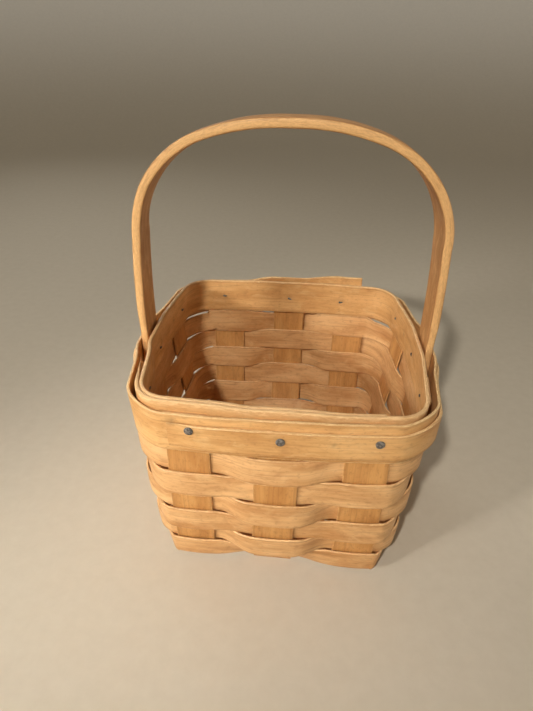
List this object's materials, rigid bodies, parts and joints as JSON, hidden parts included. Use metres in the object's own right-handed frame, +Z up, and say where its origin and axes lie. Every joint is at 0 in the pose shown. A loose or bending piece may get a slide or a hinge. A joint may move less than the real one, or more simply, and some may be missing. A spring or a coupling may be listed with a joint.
{
  "type": "peg basket",
  "caption": "Small square splint basket of woven maple strips, flared walls, nailed rim bands and one fixed arched handle to hang it from a peg.",
  "frame": {"origin": "middle of the base's underside, on the surface that the basket stands on", "axes": "+X to the right along the handle's arch, +Y to the back, +Z up to the handle's crown"},
  "size_m": [0.1524, 0.1434, 0.2027],
  "materials": {
    "stake_wood": "honey-stained maple splint, satin, fine straight grain along the strip",
    "weaver_wood": "honey-stained maple splint, satin, fine grain with a little figure",
    "band_wood": "honey-stained maple strip, satin, pale worn edges",
    "handle_wood": "honey-stained bent maple, satin, flecked grain on its edges",
    "nail_steel": "dull dark steel tack, slightly tarnished"
  },
  "bodies": {
    "root": {"stake_front_back_first": "stake_wood", "stake_front_back_middle": "stake_wood", "stake_front_back_last": "stake_wood", "stake_side_side_first": "stake_wood", "stake_side_side_middle": "stake_wood", "stake_side_side_last": "stake_wood", "base_filler_front_back_left": "stake_wood", "base_filler_front_back_right": "stake_wood", "base_filler_side_side_front": "stake_wood", "base_filler_side_side_back": "stake_wood", "weaver_row_1": "weaver_wood", "weaver_row_2": "weaver_wood", "weaver_row_3": "weaver_wood", "weaver_row_4": "weaver_wood", "weaver_row_5": "weaver_wood", "weaver_row_6": "weaver_wood", "rim_inner_band": "band_wood", "rim_backing_strip": "band_wood", "rim_outer_band": "band_wood", "handle": "handle_wood", "nail_front_first": "nail_steel", "nail_front_middle": "nail_steel", "nail_front_last": "nail_steel", "nail_right_first": "nail_steel", "nail_right_middle": "nail_steel", "nail_right_last": "nail_steel", "nail_back_first": "nail_steel", "nail_back_middle": "nail_steel", "nail_back_last": "nail_steel", "nail_left_first": "nail_steel", "nail_left_middle": "nail_steel", "nail_left_last": "nail_steel"}
  },
  "joints": []
}
